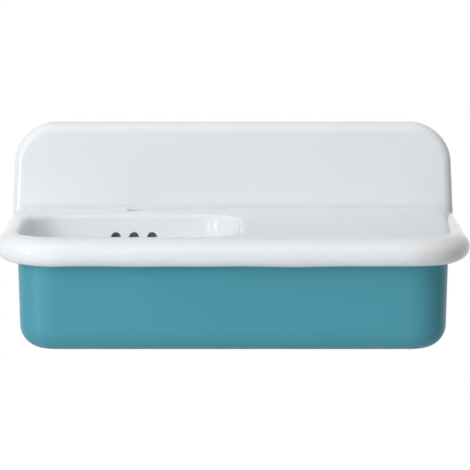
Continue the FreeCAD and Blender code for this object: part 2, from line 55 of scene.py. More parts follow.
def setInputs(tree, node, inputs):
    # each input takes a plain value, or the (node, socket) that feeds it
    for socket, source in inputs.items():
        if isinstance(source, tuple) and isinstance(source[0], bpy.types.Node):
            tree.links.new(source[0].outputs[source[1]], node.inputs[socket])
        else:
            node.inputs[socket].default_value = source


def addNode(tree, kind, inputs=None, **settings):
    made = tree.nodes.new(kind)
    for key, value in settings.items():
        setattr(made, key, value)
    setInputs(tree, made, inputs or {})
    return made


def mathNode(tree, operation, first, second):
    return addNode(tree, "ShaderNodeMath", {0: first, 1: second}, operation=operation), "Value"


def newGroup(name, inputs, outputs):
    tree = bpy.data.node_groups.new(name, "ShaderNodeTree")
    for label, default in inputs.items():
        socket = tree.interface.new_socket(label, in_out="INPUT", socket_type="NodeSocketFloat")
        socket.default_value = default
    for label in outputs:
        tree.interface.new_socket(label, in_out="OUTPUT", socket_type="NodeSocketFloat")
    return tree, addNode(tree, "NodeGroupInput"), addNode(tree, "NodeGroupOutput")


def newMaterial(name, constants):
    made = bpy.data.materials.new(name)
    made.use_nodes = True
    shader = made.node_tree.nodes["Principled BSDF"]
    setInputs(made.node_tree, shader, constants)
    return made, made.node_tree, shader


def blendColours(tree, mask, first, second):
    # from the first colour to the second as the mask grows; a plain colour gets its alpha here
    first, second = (end if isinstance(end[0], bpy.types.Node) else (*end, 1) for end in (first, second))
    return addNode(tree, "ShaderNodeMix", {"Factor": mask, "A": first, "B": second}, data_type="RGBA"), "Result"


def blendValues(tree, mask, first, second):
    return addNode(tree, "ShaderNodeMapRange", {"Value": mask, "To Min": first, "To Max": second}), "Result"


def dressShader(tree, shader, colour, rough, height, strength, depth):
    bump = addNode(tree, "ShaderNodeBump", {"Strength": strength, "Distance": depth, "Height": height})
    setInputs(tree, shader, {"Base Color": colour, "Roughness": rough, "Normal": (bump, "Normal")})


# fired glaze: slow waves, a fine orange peel, rare pinholes, a drifting tone, the bare places where the glaze was
# wiped off before firing (the back that meets the wall, and the foot below a level), and a painted shade along the
# cove
glazeGrain = {"waveDetail": 1.0, "peelDetail": 2.0, "holeSize": 0.05, "holeRare": 0.992, "toneScale": 5.0,
              "toneDetail": 3.0, "raggedScale": 45.0, "raggedLow": -0.0035, "raggedHigh": 0.0005, "bumpDeep": 0.001}
glazeGroup, groupIn, groupOut = newGroup(
    "firedGlaze", {"Wave Scale": 14.0, "Peel Scale": 260.0, "Peel Share": 0.06, "Pinhole Scale": 150.0,
                   "Foot Level": -1.0, "Cove Y": 0.0, "Cove Z": -1.0, "Cove Reach": 0.001},
    ("Height", "Pinholes", "Tone", "Bare", "Cove Shade"))
here = (addNode(glazeGroup, "ShaderNodeTexCoord"), "Object")
waves = addNode(glazeGroup, "ShaderNodeTexNoise", {
    "Vector": here, "Scale": (groupIn, "Wave Scale"), "Detail": glazeGrain["waveDetail"]})
peel = addNode(glazeGroup, "ShaderNodeTexNoise", {
    "Vector": here, "Scale": (groupIn, "Peel Scale"), "Detail": glazeGrain["peelDetail"]})
peelShare = mathNode(glazeGroup, "MULTIPLY", (peel, "Fac"), (groupIn, "Peel Share"))
cells = addNode(glazeGroup, "ShaderNodeTexVoronoi", {"Vector": here, "Scale": (groupIn, "Pinhole Scale")})
near = mathNode(glazeGroup, "LESS_THAN", (cells, "Distance"), glazeGrain["holeSize"])
cellColour = addNode(glazeGroup, "ShaderNodeSeparateColor", {"Color": (cells, "Color")})
chosen = mathNode(glazeGroup, "GREATER_THAN", (cellColour, "Red"), glazeGrain["holeRare"])
tone = addNode(glazeGroup, "ShaderNodeTexNoise", {
    "Vector": here, "Scale": glazeGrain["toneScale"], "Detail": glazeGrain["toneDetail"]})
ragged = addNode(glazeGroup, "ShaderNodeTexNoise", {"Vector": here, "Scale": glazeGrain["raggedScale"]})
raggedEdge = blendValues(glazeGroup, (ragged, "Fac"), glazeGrain["raggedLow"], glazeGrain["raggedHigh"])
where = addNode(glazeGroup, "ShaderNodeSeparateXYZ", {"Vector": here})
atWall = mathNode(glazeGroup, "GREATER_THAN", (where, "Y"), raggedEdge)
overFoot = mathNode(glazeGroup, "ADD", (where, "Z"), raggedEdge)
atFoot = mathNode(glazeGroup, "LESS_THAN", overFoot, (groupIn, "Foot Level"))
# painted shade: a mask that is 1 on the cove line where the splashback meets the deck and fades out over Cove Reach
coveLine = addNode(glazeGroup, "ShaderNodeCombineXYZ", {"Y": (groupIn, "Cove Y"), "Z": (groupIn, "Cove Z")})
sideways = addNode(glazeGroup, "ShaderNodeVectorMath", {0: here, 1: (0, 1, 1)}, operation="MULTIPLY")
fromCove = addNode(glazeGroup, "ShaderNodeVectorMath", {0: (sideways, "Vector"), 1: (coveLine, "Vector")},
                   operation="DISTANCE")
coveShade = addNode(glazeGroup, "ShaderNodeMapRange", {
    "Value": (fromCove, "Value"), "From Max": (groupIn, "Cove Reach"), "To Min": 1.0, "To Max": 0.0,
}, interpolation_type="SMOOTHSTEP")
setInputs(glazeGroup, groupOut, {
    "Height": mathNode(glazeGroup, "ADD", (waves, "Fac"), peelShare),
    "Pinholes": mathNode(glazeGroup, "MULTIPLY", near, chosen),
    "Tone": (tone, "Fac"),
    "Bare": mathNode(glazeGroup, "MAXIMUM", atWall, atFoot),
    "Cove Shade": (coveShade, "Result"),
})

# grain of pressed, cast or moulded stuff: a fine grain and larger cloudy patches
castGrain = {"grainDetail": 4.0, "patchDetail": 5.0, "patchRough": 0.6, "bumpDeep": 0.0002}
grainGroup, groupIn, groupOut = newGroup(
    "castGrain", {"Grain Scale": 700.0, "Patch Scale": 30.0}, ("Grain", "Patches"))
here = (addNode(grainGroup, "ShaderNodeTexCoord"), "Object")
grain = addNode(grainGroup, "ShaderNodeTexNoise", {
    "Vector": here, "Scale": (groupIn, "Grain Scale"), "Detail": castGrain["grainDetail"]})
patches = addNode(grainGroup, "ShaderNodeTexNoise", {
    "Vector": here, "Scale": (groupIn, "Patch Scale"), "Detail": castGrain["patchDetail"],
    "Roughness": castGrain["patchRough"]})
setInputs(grainGroup, groupOut, {"Grain": (grain, "Fac"), "Patches": (patches, "Fac")})


bareLook = {
    "constants": {"IOR": 1.45, "Specular IOR Level": 0.3}, "dark": (0.61, 0.59, 0.55), "light": (0.75, 0.73, 0.69),
    "rough": (0.75, 0.92), "bump": 0.5, "grain": {"Grain Scale": 900.0, "Patch Scale": 22.0},
}


def glazeMaterial(name, look):
    made, tree, shader = newMaterial(name, {"IOR": look["ior"], "Specular IOR Level": look["shine"]})
    glaze = addNode(tree, "ShaderNodeGroup", look["glaze"], node_tree=glazeGroup)
    colour = blendColours(tree, (glaze, "Tone"), look["deep"], look["thin"])
    # painted shade: the cove line takes the darker thick colour
    colour = blendColours(tree, (glaze, "Cove Shade"), colour, look["thick"])
    colour = blendColours(tree, (glaze, "Pinholes"), colour, look["speck"])
    biscuit = blendColours(tree, (glaze, "Tone"), bareLook["dark"], bareLook["light"])
    gloss = blendValues(tree, (glaze, "Tone"), *look["rough"])
    dressShader(tree, shader, blendColours(tree, (glaze, "Bare"), colour, biscuit),
                blendValues(tree, (glaze, "Bare"), gloss, bareLook["rough"][0]),
                (glaze, "Height"), look["bump"], glazeGrain["bumpDeep"])
    return made


def grainMaterial(name, look):
    made, tree, shader = newMaterial(name, look["constants"])
    stuff = addNode(tree, "ShaderNodeGroup", look["grain"], node_tree=grainGroup)
    dressShader(tree, shader, blendColours(tree, (stuff, "Patches"), look["dark"], look["light"]),
                blendValues(tree, (stuff, "Patches"), *look["rough"]),
                (stuff, "Grain"), look["bump"], castGrain["bumpDeep"])
    return made


# thick is the colour of the painted shade along the cove; teal's thick is its deep colour, so it paints nothing there
whiteLook = {
    "ior": 1.5, "shine": 0.27, "deep": (0.825, 0.848, 0.868), "thin": (0.85, 0.868, 0.884),
    "speck": (0.62, 0.60, 0.57), "thick": (0.745, 0.77, 0.795), "rough": (0.05, 0.11), "bump": 0.05,
    "glaze": {"Wave Scale": 12.0, "Peel Scale": 240.0, "Peel Share": 0.03, "Pinhole Scale": 130.0,
              "Cove Y": -0.0305, "Cove Z": 0.0015, "Cove Reach": 0.009},
}
tealLook = {
    "ior": 1.45, "shine": 0.18, "deep": (0.073, 0.312, 0.398), "thin": (0.084, 0.334, 0.420),
    "speck": (0.03, 0.13, 0.16), "thick": (0.073, 0.312, 0.398), "rough": (0.29, 0.38), "bump": 0.06,
    "glaze": {"Wave Scale": 10.0, "Peel Scale": 220.0, "Peel Share": 0.04, "Pinhole Scale": 120.0,
              "Foot Level": -0.2065},
}
chromeLook = {
    "constants": {"Metallic": 1.0}, "dark": (0.70, 0.71, 0.73), "light": (0.82, 0.83, 0.84),
    "rough": (0.04, 0.12), "bump": 0.02, "grain": {"Grain Scale": 500.0, "Patch Scale": 60.0},
}
brassLook = {
    "constants": {"Metallic": 1.0}, "dark": (0.42, 0.28, 0.10), "light": (0.72, 0.53, 0.24),
    "rough": (0.22, 0.42), "bump": 0.12, "grain": {"Grain Scale": 800.0, "Patch Scale": 70.0},
}
springLook = {
    "constants": {"Metallic": 1.0}, "dark": (0.34, 0.34, 0.36), "light": (0.58, 0.58, 0.60),
    "rough": (0.18, 0.34), "bump": 0.06, "grain": {"Grain Scale": 900.0, "Patch Scale": 160.0},
}
zincLook = {
    "constants": {"Metallic": 1.0}, "dark": (0.48, 0.49, 0.50), "light": (0.70, 0.71, 0.70),
    "rough": (0.26, 0.46), "bump": 0.12, "grain": {"Grain Scale": 600.0, "Patch Scale": 110.0},
}
rubberLook = {
    "constants": {"Specular IOR Level": 0.35}, "dark": (0.016, 0.016, 0.017), "light": (0.040, 0.040, 0.042),
    "rough": (0.58, 0.80), "bump": 0.3, "grain": {"Grain Scale": 1100.0, "Patch Scale": 90.0},
}
nylonLook = {
    "constants": {"IOR": 1.53, "Subsurface Weight": 0.15, "Subsurface Scale": 0.002},
    "dark": (0.70, 0.70, 0.66), "light": (0.80, 0.80, 0.77),
    "rough": (0.34, 0.50), "bump": 0.1, "grain": {"Grain Scale": 700.0, "Patch Scale": 80.0},
}
finish = {
    "white_glaze": glazeMaterial("whiteGlaze", whiteLook),
    "teal_glaze": glazeMaterial("tealGlaze", tealLook),
    "bare_ceramic": grainMaterial("bareCeramic", bareLook),
    "chrome": grainMaterial("chromePlate", chromeLook),
    "brass": grainMaterial("turnedBrass", brassLook),
    "spring_steel": grainMaterial("springWire", springLook),
    "zinc_steel": grainMaterial("zincPlate", zincLook),
    "rubber": grainMaterial("blackRubber", rubberLook),
    "nylon": grainMaterial("mouldedNylon", nylonLook),
}
slotOf = {
    "basin_top": "white_glaze", "apron": "teal_glaze", "overflow_channel": "bare_ceramic", "waste_body": "chrome",
    "flange_gasket": "rubber", "cone_washer": "rubber", "slip_washer": "nylon", "waste_backnut": "brass",
    "click_housing": "brass", "click_spring": "spring_steel", "click_pin": "brass", "click_circlip": "spring_steel",
    "plug_lock_nut": "brass", "plug_cap": "chrome", "plug_seal": "rubber", "hanger_bolts": "zinc_steel",
    "bolt_sleeves": "nylon", "bolt_washers": "zinc_steel", "bolt_nuts": "zinc_steel",
}
for name, slotName in slotOf.items():
    nodes[name].data.materials.clear()
    nodes[name].data.materials.append(finish[slotName])
print("materials made:", len(finish))


def gridPatch(points, closed=False):
    # a (rows, columns, 3) array and the quads between its neighbours; closed joins the last column to the first
    rows, columns = points.shape[:2]
    index = np.arange(rows * columns).reshape(rows, columns)
    if closed:
        index = np.hstack([index, index[:, :1]])
    quads = np.stack([index[:-1, :-1], index[:-1, 1:], index[1:, 1:], index[1:, :-1]], -1).reshape(-1, 4)
    return points.reshape(-1, 3), quads.tolist()


def insideLoop(points, loop):
    # even-odd rule: a point is inside where a ray to its right crosses the loop an odd number of times
    x, y = points.T
    ahead = np.roll(loop, -1, 0)
    crosses = (loop[:, 1:] > y) != (ahead[:, 1:] > y)
    slope = (ahead[:, :1] - loop[:, :1]) / np.where(ahead[:, 1:] == loop[:, 1:], 1.0, ahead[:, 1:] - loop[:, 1:])
    return (crosses & (x < loop[:, :1] + (y - loop[:, 1:]) * slope)).sum(0) % 2 == 1


def flatPatch(lift, outline, *gaps, inner=()):
    # a face inside an outline and outside its gaps, all (n, 2); lift turns (n, 2) points into (n, 3), and a wall
    # that isn't flat has loose points between
    loops = [outline, *gaps]
    starts = np.cumsum([0] + [len(loop) for loop in loops])
    edges = np.vstack([np.stack([np.arange(len(loop)), np.roll(np.arange(len(loop)), -1)], 1) + first
                       for loop, first in zip(loops, starts)])
    flat = [Vector(p) for p in np.vstack(loops + [np.reshape(inner, (-1, 2))]).tolist()]
    found, _, faces, *_ = delaunay_2d_cdt(flat, edges.tolist(), [], 1, 1e-6)
    points, faces = np.array([tuple(p) for p in found]), np.array(faces)
    middles = points[faces].mean(1)
    kept = insideLoop(middles, outline) & ~np.any([insideLoop(middles, gap) for gap in gaps], 0)
    return (lift(points), faces[kept].tolist()) + (() if len(inner) else ("flat",))


def around(steps):
    return np.linspace(0, 2 * np.pi, steps, endpoint=False)


def spun(radius, level, turn):
    # rings about an axis: radius and level may both change from ring to ring and with the turn
    radius = np.broadcast_to(radius, (len(level), len(turn)))
    level = np.broadcast_to(np.reshape(level, (len(level), -1)), radius.shape)
    return np.stack([radius * np.cos(turn), radius * np.sin(turn), level], -1)


def turnedPatch(profile, x, y, steps):
    # a profile of (radius, height) points turned about an upright axis
    radius, level = np.array(profile, float).T
    return gridPatch(spun(radius[:, None], level, around(steps)) + (x, y, 0), closed=True)


def circle(x, y, radius, steps):
    return np.stack([x + radius * np.cos(around(steps)), y + radius * np.sin(around(steps))], -1)


def arcRows(middle, level, radius, first, last, steps, wide=None):
    # points (inset, height) of an arc from one angle to another, in degrees; wide makes it part of an oval
    turn = np.radians(np.linspace(first, last, steps))
    return np.stack([middle + (wide or radius) * np.cos(turn), level + radius * np.sin(turn)], -1)


# metres within which points join, radians within which faces are one, and metres below which an edge goes
mend = {"weld": 2e-5, "level": 0.002, "thin": 1e-6}


def putPiece(name, patches, slotName, outer, replacing=(), body="basin", sharp=38.0):
    # patches become one mesh; outer is an axis number and a sign, the side on which the outermost face looks out
    points, faces, level, count = [], [], [], 0
    for patchPoints, patchFaces, *kind in patches:
        points.append(patchPoints)
        level += [bool(kind)] * len(patchFaces)
        faces += [[i + count for i in face] for face in patchFaces]
        count += len(patchPoints)
    mesh = bpy.data.meshes.new(name)
    mesh.from_pydata((np.vstack(points) * metre).tolist(), [], faces)
    work = bmesh.new()
    work.from_mesh(mesh)
    levelFaces = {face for face, flat in zip(work.faces, level) if flat}
    bmesh.ops.remove_doubles(work, verts=work.verts, dist=mend["weld"])
    within = [e for e in work.edges if len(e.link_faces) == 2 and levelFaces.issuperset(e.link_faces)]
    bmesh.ops.dissolve_limit(work, angle_limit=mend["level"], verts=[], edges=within)
    bmesh.ops.dissolve_degenerate(work, edges=work.edges, dist=mend["thin"])
    bmesh.ops.recalc_face_normals(work, faces=work.faces)
    axis, sign = outer
    outermost = max((f for f in work.faces if abs(f.normal[axis]) > 0.5),
                    key=lambda f: sign * f.calc_center_median()[axis])
    if outermost.normal[axis] * sign < 0:
        bmesh.ops.reverse_faces(work, faces=work.faces)
    work.to_mesh(mesh)
    work.free()
    return finishPiece(bpy.data.objects.new(name, mesh), slotName, replacing, body, sharp)


def finishPiece(piece, slotName, replacing, body, sharp):
    piece.data.materials.append(finish[slotName])
    piece.data.shade_smooth()
    piece.data.set_sharp_from_angle(angle=math.radians(sharp))
    scene.collection.objects.link(piece)
    level = piece.modifiers.new("evenShading", "WEIGHTED_NORMAL")
    level.weight = 80
    level.keep_sharp = True
    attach(piece, body)
    if replacing:
        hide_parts(*replacing)
    return piece


def hiddenSkin(name, node, slotName, keep, replacing=(), sharp=30.0):
    # the faces of a solid that aren't drawn afresh; keep takes face middles and normals
    mesh = nodes[node].data.copy()
    mesh.materials.clear()
    middles = np.empty(len(mesh.polygons) * 3, np.float32)
    normals = np.empty(len(mesh.polygons) * 3, np.float32)
    mesh.polygons.foreach_get("center", middles)
    mesh.polygons.foreach_get("normal", normals)
    kept = keep(middles.reshape(-1, 3) / metre, normals.reshape(-1, 3))
    work = bmesh.new()
    work.from_mesh(mesh)
    work.faces.ensure_lookup_table()
    bmesh.ops.delete(work, geom=[work.faces[i] for i in np.flatnonzero(~kept)], context="FACES")
    bmesh.ops.remove_doubles(work, verts=work.verts, dist=mend["weld"])
    work.to_mesh(mesh)
    work.free()
    mesh.name = name
    return finishPiece(bpy.data.objects.new(name, mesh), slotName, replacing, "basin", sharp)


def trough(half, depth, corner, inset, back, sideSteps=10, cornerSteps=26, frontSteps=26):
    # left side, front and right side of a trough in plan, one line for each inset: the line of corner middles
    # plus the outward direction times (corner radius - inset); back is where each line's sides begin
    inset = np.asarray(inset, float)[:, None]
    back = np.zeros_like(inset) + np.reshape(back, (-1, 1))
    midX, midY = half - corner, corner - depth
    along = np.linspace(0, 1, sideSteps)
    turn = np.linspace(0, np.pi / 2, cornerSteps)[1:-1]
    frontX = np.linspace(-midX, midX, frontSteps)
    left = np.stack([inset - half + 0 * along, back + (midY - back) * along], -1)
    bend = np.stack([-midX - (corner - inset) * np.cos(turn), midY - (corner - inset) * np.sin(turn)], -1)
    front = np.stack([frontX + 0 * inset, inset - depth + 0 * frontX], -1)
    mirror = np.array([-1, 1])
    return np.concatenate([left, bend, front, bend[:, ::-1] * mirror, left[:, ::-1] * mirror], 1)


def lifted(plan, level):
    # plan lines (rows, columns, 2) given one height for each row
    return np.concatenate([plan, np.zeros(plan.shape[:2] + (1,)) + np.reshape(level, (-1, 1, 1))], -1)


def atHeight(level):
    return lambda flat: np.column_stack([flat, np.full(len(flat), level)])


# white casting: rim, splashback and bowl are one glazed skin
rim = {"half": 425.0, "depth": 480.0, "corner": 126.0, "height": 49.0, "over": 25.0, "overWide": 36.0, "under": 22.0,
       "flat": 46.6, "overSteps": 10, "underSteps": 20}
hang = {"deep": 0.45, "waves": ((41, 1.0, 0.0), (23, 0.7, 1.3), (67, 0.5, 4.0)), "fade": 60, "from": -30, "over": 19,
        "slack": 0.1}
back = {"height": 163.0, "thick": 28.0, "inset": 3.5, "lean": 2.9, "corner": 80.0, "round": 19.0, "cove": 5.0,
        "sideSteps": 12, "cornerSteps": 26, "topSteps": 31, "coveSteps": 12, "edgeSteps": 19, "searchSteps": 721,
        "ballSteps": 2881}
bowl = {"left": -387.5, "right": 16.5, "front": -428.0, "back": -123.0, "deep": 130.0, "slope": 18.0,
        "steep": 10.0, "flare": 28.0, "corner": 75.0, "floorRound": 40.0, "lip": 10.0, "wall": 6.5,
        "lipSteps": 15, "wallSteps": 15, "floorSteps": 18}
holes = {"middle": -185.5, "tapY": -59.0, "tapRadius": 17.5, "tapEdge": 1.2, "deck": 14.0,
         "overflow": 9.0, "overflowPitch": 34.0, "overflowZ": -42.0, "overflowEdge": 1.2, "overflowPast": 0.2,
         "overflowRoom": 2.5, "outletY": -240.0, "outlet": 23.0, "recess": 34.0, "recessDeep": 2.5, "recessEdge": 1.0,
         "bossRadius": 35.0, "smallSteps": 40, "largeSteps": 64, "overflowSteps": 6, "recessSteps": 5, "tapSteps": 7}

leanTan = math.tan(math.radians(back["lean"]))
leanCos = math.cos(math.radians(back["lean"]))
sideEdge = back["inset"] - rim["half"]        # splashback's left side at deck level
sideFlat = back["round"] - back["thick"]      # its side is flat from the wall to here


def rimTop(x):
    # height of the rolled rim beside the splashback: flat deck, then the roll's quarter oval, then nothing
    edge = np.maximum(rim["half"] - np.abs(x), 0)
    drop = np.maximum(1 - edge / rim["overWide"], 0)
    return np.where(np.abs(x) > rim["half"], -1e3, rim["over"] * (np.sqrt(1 - drop ** 2) - 1))


def restingBall(x, y, outX, outY):
    # a ball as wide as the cove slides down the splashback and rests on the rim: the height of its middle is
    # the greatest of rim height + sqrt(r2 - (q - r)2) over the distance q out from the splashback
    r = back["cove"]
    q = np.linspace(0, 2 * r, back["ballSteps"])
    rest = rimTop(x[:, None] + outX[:, None] * q) + np.sqrt(np.maximum(r ** 2 - (q - r) ** 2, 0))
    touch = q[np.argmax(rest, 1)]
    footX = x + outX * touch
    return rest.max(1), touch, footX, y + outY * touch, rimTop(footX)


def backEdge(turn):
    # plan of the splashback's left front edge, a quarter round from its side to its front
    inset = back["round"] * (1 - np.cos(turn))
    plan = sideEdge + inset / leanCos, sideFlat - back["round"] * np.sin(turn), -np.cos(turn), -np.sin(turn)
    return plan, inset


# cove lines are chosen so that their feet climb the rim's roll in even steps
fine = np.linspace(0, np.pi / 2, back["searchSteps"])
_, _, fineX, _, _ = restingBall(*backEdge(fine)[0])
climb = np.arccos(np.clip((rim["overWide"] - fineX - rim["half"]) / rim["overWide"], -1, 1))
turns = np.interp(np.linspace(climb[0], climb[-1], back["edgeSteps"]), climb, fine)
turns[0], turns[-1] = 0, np.pi / 2
edgePlan, edgeInset = backEdge(turns)
edgeX, edgeY, edgeOutX, edgeOutY, edgeInset = (np.concatenate([row[:1], row]) for row in (*edgePlan, edgeInset))
edgeY[0] = 0.0                                # the side begins at the wall
deckStart = rim["overWide"] - rim["half"]
straightX = np.concatenate([[(edgeX[-1] + deckStart) / 2], np.linspace(deckStart, -deckStart, back["topSteps"]),
                            [-(edgeX[-1] + deckStart) / 2]])
coveX = np.concatenate([edgeX, straightX, -edgeX[::-1]])
coveY = np.concatenate([edgeY, 0 * straightX - back["thick"], edgeY[::-1]])
coveOutX = np.concatenate([edgeOutX, 0 * straightX, -edgeOutX[::-1]])
coveOutY = np.concatenate([edgeOutY, 0 * straightX - 1, edgeOutY[::-1]])
leaning = np.concatenate([0 * edgeX + 1, 0 * straightX, 0 * edgeX - 1])
ballZ, touch, footX, footY, footZ = restingBall(coveX, coveY, coveOutX, coveOutY)
r = back["cove"]
lastTurn = np.arctan2(footZ - ballZ, touch - r)
share = np.linspace(0, 1, back["coveSteps"])[:, None]
coveTurn = -np.pi + (lastTurn + np.pi) * share
coveAway = r + r * np.cos(coveTurn)
coveZ = ballZ + r * np.sin(coveTurn)
covePoints = np.stack([coveX + coveOutX * coveAway + leaning * coveZ * leanTan * (1 - share),
                       coveY + coveOutY * coveAway, coveZ], -1)

# rolled rim: its profile of (inset, height) points is carried round the trough line
edgeCount = len(edgeX)
footInset = footX[:edgeCount + 2] + rim["half"]
overEnd = 180 - math.degrees(np.arccos(1 - footInset[1] / rim["overWide"]))
underArc = arcRows(rim["under"], rim["under"] - rim["height"], rim["under"], 270, 180, rim["underSteps"])
overArc = arcRows(rim["overWide"], -rim["over"], rim["over"], 180, overEnd, rim["overSteps"], rim["overWide"])
lower = np.concatenate([[[rim["flat"], -rim["height"]]], underArc, overArc[:-1]])
upper = np.stack([footInset[1:], footZ[1:edgeCount + 2]], -1)
rollRows = np.concatenate([lower, upper])
rollBack = np.concatenate([np.full(len(lower), sideFlat), footY[1:edgeCount + 2]])
rollPlan = trough(rim["half"], rim["depth"], rim["corner"], rollRows[:, 0], rollBack)
rollPoints = lifted(rollPlan, rollRows[:, 1])
# the roll's underside hangs a little unevenly: a sum of sines along the rim's widest line, fading out above and at
# the wall
widest = rollPlan[rim["underSteps"]]
walk = np.cumsum(np.hypot(*np.diff(widest, axis=0, prepend=widest[:1]).T))
sag = sum(part * np.sin(walk / length + start) for length, part, start in hang["waves"])
sag *= np.clip(np.minimum(walk, walk[-1] - walk) / hang["fade"], 0, 1)
hangShare = np.clip((hang["from"] - rollRows[:, 1]) / hang["over"], 0, 1)
hangShare *= rollRows[:, 0] < rim["under"] - hang["slack"]
rollPoints[..., 2] += hang["deep"] * hangShare[:, None] * sag
endRows = len(lower) + 1
leftEnd = np.stack([rollPoints[:endRows, 0], rollPoints[:endRows, 0] * (1, 0, 1)], 1)
rightEnd = np.stack([rollPoints[:endRows, -1] * (1, 0, 1), rollPoints[:endRows, -1]], 1)

# splashback: its rounded edge profile is carried up one side, across the top and down the other
cornerX = sideEdge + (back["height"] - back["corner"]) * leanTan + back["corner"] / leanCos
cornerZ = back["height"] - back["corner"]
sideTurn = np.radians(180 - back["lean"])
along = np.linspace(0, 1, back["sideSteps"])
reach = (back["corner"] - edgeInset)[:, None]
startZ = ballZ[:edgeCount, None] - reach * np.sin(sideTurn)
sideZ = startZ + (cornerZ - startZ) * along
sideX = cornerX - (cornerZ - sideZ) * leanTan
bend = np.linspace(sideTurn, np.pi / 2, back["cornerSteps"])[1:-1]
topX = np.linspace(cornerX, -cornerX, back["topSteps"])
upSide = np.stack([sideX + reach * np.cos(sideTurn), sideZ + reach * np.sin(sideTurn)], -1)
upBend = np.stack([cornerX + reach * np.cos(bend), cornerZ + reach * np.sin(bend)], -1)
across = np.stack([topX + 0 * reach, cornerZ + reach + 0 * topX], -1)
outline = np.concatenate([upSide, upBend, across, upBend[:, ::-1] * (-1, 1), upSide[:, ::-1] * (-1, 1)], 1)
backPoints = np.stack([outline[..., 0], np.zeros(outline.shape[:2]) + edgeY[:, None], outline[..., 1]], -1)

frontFace = np.concatenate([backPoints[-1], covePoints[0, edgeCount:-edgeCount][::-1]])
rearFace = np.concatenate([backPoints[0], covePoints[1:, -1], rightEnd[:endRows - 1, 0][::-1],
                           leftEnd[:endRows - 1, 1], covePoints[1:, 0][::-1]])

# bowl: rounded loops, each the box of corner middles plus the outward direction times (corner radius - inset)
slopeTan = math.tan(math.radians(bowl["slope"]))
slopeCos = math.cos(math.radians(bowl["slope"]))
lipIn = -bowl["lip"] * math.tan(math.radians(45 - bowl["slope"] / 2))


def leanRows(start, radius, first, last, steps):
    # a hollow arc from a start point: the lean from upright grows from first to last, and the points are the start
    # plus radius times (cos first - cos lean, sin first - sin lean)
    lean = np.radians(np.linspace(first, last, steps))
    return start + radius * np.stack([np.cos(lean[0]) - np.cos(lean), np.sin(lean[0]) - np.sin(lean)], -1)


# the wall's arc takes up the depth that the lip and the floor's rounding leave
lipRows = arcRows(lipIn, -bowl["lip"], bowl["lip"], 90, bowl["steep"], bowl["lipSteps"])
steepSin, flareSin = np.sin(np.radians([bowl["steep"], bowl["flare"]]))
wallDeep = bowl["deep"] - bowl["lip"] * (1 - steepSin) - bowl["floorRound"] * (1 - flareSin)
wallRadius = wallDeep / (flareSin - steepSin)
wallRows = leanRows(lipRows[-1], wallRadius, bowl["steep"], bowl["flare"], bowl["wallSteps"])[1:]
floorRows = leanRows(wallRows[-1], bowl["floorRound"], bowl["flare"], 90, bowl["floorSteps"])[1:]


def roundedLoops(left, right, front, rear, corner, inset, cornerSteps=22, sideSteps=12):
    # begins at the back left corner and goes left, front, right and back, so the back side comes last
    inset = np.asarray(inset, float)[:, None]
    middles = np.array([[left + corner, rear - corner], [left + corner, front + corner],
                        [right - corner, front + corner], [right - corner, rear - corner]])
    parts = []
    for k in range(4):
        turn = np.pi / 2 * (1 + k) + np.linspace(0, np.pi / 2, cornerSteps)
        span = np.linspace(0, 1, sideSteps)[1:-1, None]
        onward = middles[(k + 1) % 4] - middles[k]
        base = np.concatenate([np.repeat(middles[k:k + 1], cornerSteps, 0), middles[k] + onward * span])
        angle = np.concatenate([turn, np.full(sideSteps - 2, turn[-1])])
        parts.append(base + (corner - inset)[..., None] * np.stack([np.cos(angle), np.sin(angle)], -1))
    return np.concatenate(parts, 1), sideSteps - 2


bowlRows = np.concatenate([lipRows, wallRows, floorRows])
bowlPlan, backCount = roundedLoops(bowl["left"], bowl["right"], bowl["front"], bowl["back"], bowl["corner"],
                                   bowlRows[:, 0], cornerSteps=32, sideSteps=24)
bowlPoints = lifted(bowlPlan, bowlRows[:, 1])
lipEnd, wallEnd = len(lipRows), len(lipRows) + len(wallRows)
wallColumns = bowlPlan.shape[1] - backCount


def wallInset(level):
    return np.interp(-level, -bowlRows[:, 1], bowlRows[:, 0])


def onBackWall(flat, depth=0.0):
    # (x, z) points on the bowl's hollow back wall, or sunk into it
    return np.stack([flat[..., 0], bowl["back"] - wallInset(flat[..., 1]) + depth, flat[..., 1]], -1)


# overflow holes: a rounded edge, then a tunnel to the wall's outside
wallBand = bowlPoints[lipEnd - 1:wallEnd]
wallGrid = np.concatenate([wallBand[:, wallColumns - 1:], wallBand[:, :1]], 1)[..., [0, 2]]
wallLoop = np.concatenate([wallGrid[0], wallGrid[1:-1, -1], wallGrid[-1][::-1], wallGrid[1:-1, 0][::-1]])
spots = [holes["middle"] + k * holes["overflowPitch"] for k in (-1, 0, 1)]
edge = holes["overflowEdge"]
edgeArc = np.radians(np.linspace(0, 90, holes["overflowSteps"]))
tunnelRadius = np.concatenate([holes["overflow"] + edge * (1 - np.sin(edgeArc)), [holes["overflow"]]])
tunnelDepth = np.concatenate([edge * (1 - np.cos(edgeArc)), [0.0]])
tunnels = []
for spot in spots:
    rings = np.stack([circle(spot, holes["overflowZ"], radius, holes["smallSteps"]) for radius in tunnelRadius])
    sunk = np.zeros(rings.shape[:2]) + tunnelDepth[:, None]
    sunk[-1] = (bowl["wall"] / slopeCos + holes["overflowPast"] + slopeTan * rings[-1, :, 1]
                + wallInset(rings[-1, :, 1]))
    tunnels.append(gridPatch(onBackWall(rings, sunk), closed=True))
wallInner = wallGrid[1:-1, 1:-1].reshape(-1, 2)
fromSpots = np.min([np.hypot(wallInner[:, 0] - spot, wallInner[:, 1] - holes["overflowZ"]) for spot in spots], 0)
mouth = holes["overflow"] + edge
backWall = flatPatch(onBackWall, wallLoop,
                     *[circle(spot, holes["overflowZ"], mouth, holes["smallSteps"]) for spot in spots],
                     inner=wallInner[fromSpots > mouth + holes["overflowRoom"]])

